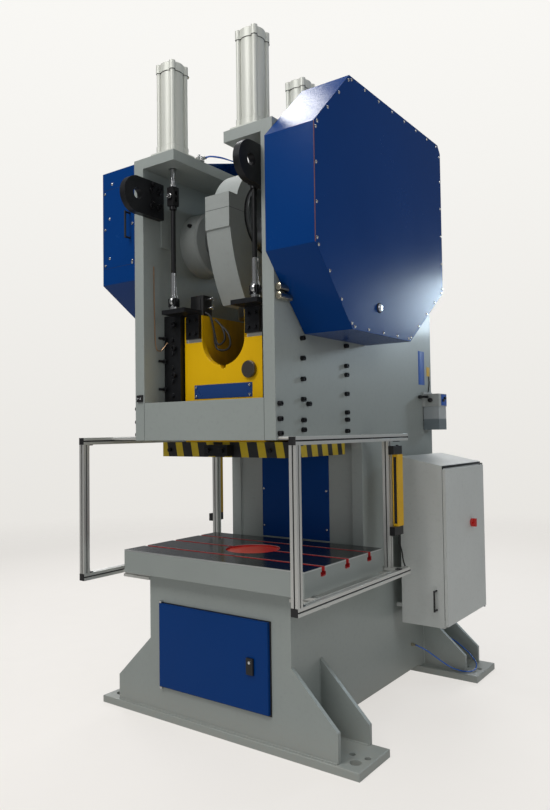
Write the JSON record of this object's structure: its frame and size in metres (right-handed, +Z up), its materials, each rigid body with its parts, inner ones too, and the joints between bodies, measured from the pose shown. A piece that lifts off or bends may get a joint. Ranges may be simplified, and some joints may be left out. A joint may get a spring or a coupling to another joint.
{
  "type": "mechanical stamping press",
  "caption": "Open-front C-frame eccentric press with a slotted table, guided slide, geared crank drive, air counterbalance cylinders, side guards and control cabinet.",
  "frame": {"origin": "on the floor under the front face of the lower front plate, in the machine's middle plane", "axes": "+X to the machine's right seen from the front, +Y to its back, +Z up"},
  "size_m": [1.8, 2.182, 3.789],
  "materials": {
    "side_plate_left": "grey satin paint on steel plate",
    "side_plate_right": "grey satin paint on steel plate",
    "front_plate": "grey satin paint on steel plate",
    "front_foot": "grey satin paint on steel plate",
    "rear_foot": "grey satin paint on steel plate",
    "foot_gussets": "grey satin paint on steel plate",
    "throat_wall": "grey satin paint on steel plate",
    "head_cross_plate": "grey satin paint on steel plate",
    "top_plate": "grey satin paint on steel plate",
    "back_plate": "grey satin paint on steel plate",
    "conrod_body": "grey paint on casting",
    "conrod_cap": "grey paint on casting",
    "frame_bearings": "grey paint on casting",
    "table_plate": "ground top, painted sides",
    "drop_cover": "red-orange paint",
    "throat_panel": "blue gloss paint on sheet",
    "gear_cover": "blue gloss paint on sheet",
    "gear_cover_panel": "blue gloss paint on sheet",
    "flywheel_cover": "blue gloss paint on sheet",
    "lower_door": "blue gloss paint on sheet",
    "slide_label": "blue gloss paint on sheet",
    "slide_body": "yellow gloss paint on casting",
    "slide_plate": "yellow and black warning stripes",
    "lifting_lugs": "black oxide",
    "rod_bracket_left": "black oxide",
    "rod_bracket_right": "black oxide",
    "shank_clamp": "black oxide",
    "gibs": "black oxide",
    "frame_screws": "black oxide",
    "adjuster_disc": "black oxide",
    "crankshaft": "machined steel",
    "bull_gear": "machined steel",
    "pinion_shaft": "machined steel",
    "ball_screw": "machined steel",
    "conrod_bolts": "machined steel",
    "tie_rod_left": "bright plated steel",
    "tie_rod_right": "bright plated steel",
    "tie_rod_rear": "bright plated steel",
    "cover_screws": "bright plated steel",
    "hinge_pins": "bright plated steel",
    "bow_handles": "black",
    "door_lock": "black",
    "flywheel": "machined casting",
    "motor_pulley": "machined casting",
    "motor": "blue-grey paint",
    "drive_belts": "black rubber",
    "cylinder_left": "anodised",
    "cylinder_right": "anodised",
    "cylinder_rear": "anodised",
    "guard_frame_left": "anodised",
    "guard_frame_right": "anodised",
    "cabinet_box": "light grey textured paint",
    "cabinet_door": "light grey textured paint",
    "main_switch": "red",
    "lubricator_body": "grey paint",
    "lubricator_reservoir": "clear plastic tank",
    "pump_handle": "black",
    "light_curtains": "yellow bars with black brackets",
    "air_hose": "blue tube",
    "hose_fittings": "nickel-plated brass"
  },
  "bodies": {
    "frame": {"side_plate_left": "side_plate_left", "side_plate_right": "side_plate_right", "front_plate": "front_plate", "front_foot": "front_foot", "rear_foot": "rear_foot", "foot_gussets": "foot_gussets", "throat_wall": "throat_wall", "head_cross_plate": "head_cross_plate", "top_plate": "top_plate", "back_plate": "back_plate", "frame_bearings": "frame_bearings", "table_plate": "table_plate", "drop_cover": "drop_cover", "throat_panel": "throat_panel", "gear_cover": "gear_cover", "gear_cover_panel": "gear_cover_panel", "flywheel_cover": "flywheel_cover", "lifting_lugs": "lifting_lugs", "gibs": "gibs", "frame_screws": "frame_screws", "cover_screws": "cover_screws", "hinge_pins": "hinge_pins", "bow_handles": "bow_handles", "motor": "motor", "drive_belts": "drive_belts", "cylinder_left": "cylinder_left", "cylinder_right": "cylinder_right", "cylinder_rear": "cylinder_rear", "guard_frame_left": "guard_frame_left", "guard_frame_right": "guard_frame_right", "cabinet_box": "cabinet_box", "lubricator_body": "lubricator_body", "lubricator_reservoir": "lubricator_reservoir", "light_curtains": "light_curtains", "air_hose": "air_hose", "hose_fittings": "hose_fittings"},
    "crank": {"crankshaft": "crankshaft", "bull_gear": "bull_gear"},
    "rod": {"conrod_body": "conrod_body", "conrod_cap": "conrod_cap", "conrod_bolts": "conrod_bolts", "ball_screw": "ball_screw"},
    "slide": {"slide_body": "slide_body", "slide_plate": "slide_plate", "shank_clamp": "shank_clamp", "adjuster_disc": "adjuster_disc", "slide_label": "slide_label", "rod_bracket_left": "rod_bracket_left", "rod_bracket_right": "rod_bracket_right", "tie_rod_left": "tie_rod_left", "tie_rod_right": "tie_rod_right", "tie_rod_rear": "tie_rod_rear"},
    "fast_shaft": {"pinion_shaft": "pinion_shaft", "flywheel": "flywheel"},
    "motor_rotor": {"motor_pulley": "motor_pulley"},
    "cupboard_door": {"lower_door": "lower_door"},
    "cupboard_lock": {"door_lock": "door_lock"},
    "control_door": {"cabinet_door": "cabinet_door"},
    "switch": {"main_switch": "main_switch"},
    "pump": {"pump_handle": "pump_handle"}
  },
  "joints": [
    {"name": "crank_turn", "type": "hinge", "parent": "frame", "child": "crank", "pos_m": [0, 0.4, 2.82], "axis": [-1, 0, 0], "range_deg": [0, 180]},
    {"name": "rod_swing", "type": "hinge", "parent": "crank", "child": "rod", "pos_m": [0, 0.4, 2.9], "axis": [-1, 0, 0], "range_deg": [-180, 0]},
    {"name": "slide_travel", "type": "slide", "parent": "frame", "child": "slide", "axis": [0, 0, 1], "range_m": [-0.1601, 0]},
    {"name": "flywheel_turn", "type": "hinge", "parent": "frame", "child": "fast_shaft", "pos_m": [0, 1.0261, 2.75], "axis": [-1, 0, 0], "range_deg": [-900.5, 0]},
    {"name": "motor_turn", "type": "hinge", "parent": "frame", "child": "motor_rotor", "pos_m": [0, 1.42, 2.35], "axis": [-1, 0, 0], "range_deg": [-4861, 0]},
    {"name": "cupboard_swing", "type": "hinge", "parent": "frame", "child": "cupboard_door", "pos_m": [-0.4, -0.013, 0.426], "axis": [0, 0, -1], "range_deg": [0, 110]},
    {"name": "cupboard_lock_turn", "type": "hinge", "parent": "cupboard_door", "child": "cupboard_lock", "pos_m": [0.258, 0, 0.423], "axis": [0, 1, 0], "range_deg": [0, 90]},
    {"name": "cabinet_swing", "type": "hinge", "parent": "frame", "child": "control_door", "pos_m": [0.863, 1.79, 0.93], "axis": [0, 0, 1], "range_deg": [0, 120]},
    {"name": "main_switch_turn", "type": "hinge", "parent": "control_door", "child": "switch", "pos_m": [0.872, 1.553, 1.033], "axis": [1, 0, 0], "range_deg": [0, 90]},
    {"name": "pump_pull", "type": "slide", "parent": "frame", "child": "pump", "axis": [0, -1, 0], "range_m": [0, 0.06]}
  ],
  "couplings": [
    {"joint": "rod_swing", "follows": "crank_turn", "ratio": -1},
    {"joint": "slide_travel", "follows": "crank_turn", "m_per_rad": -0.05093},
    {"joint": "flywheel_turn", "follows": "crank_turn", "ratio": -5},
    {"joint": "motor_turn", "follows": "crank_turn", "ratio": -27}
  ]
}
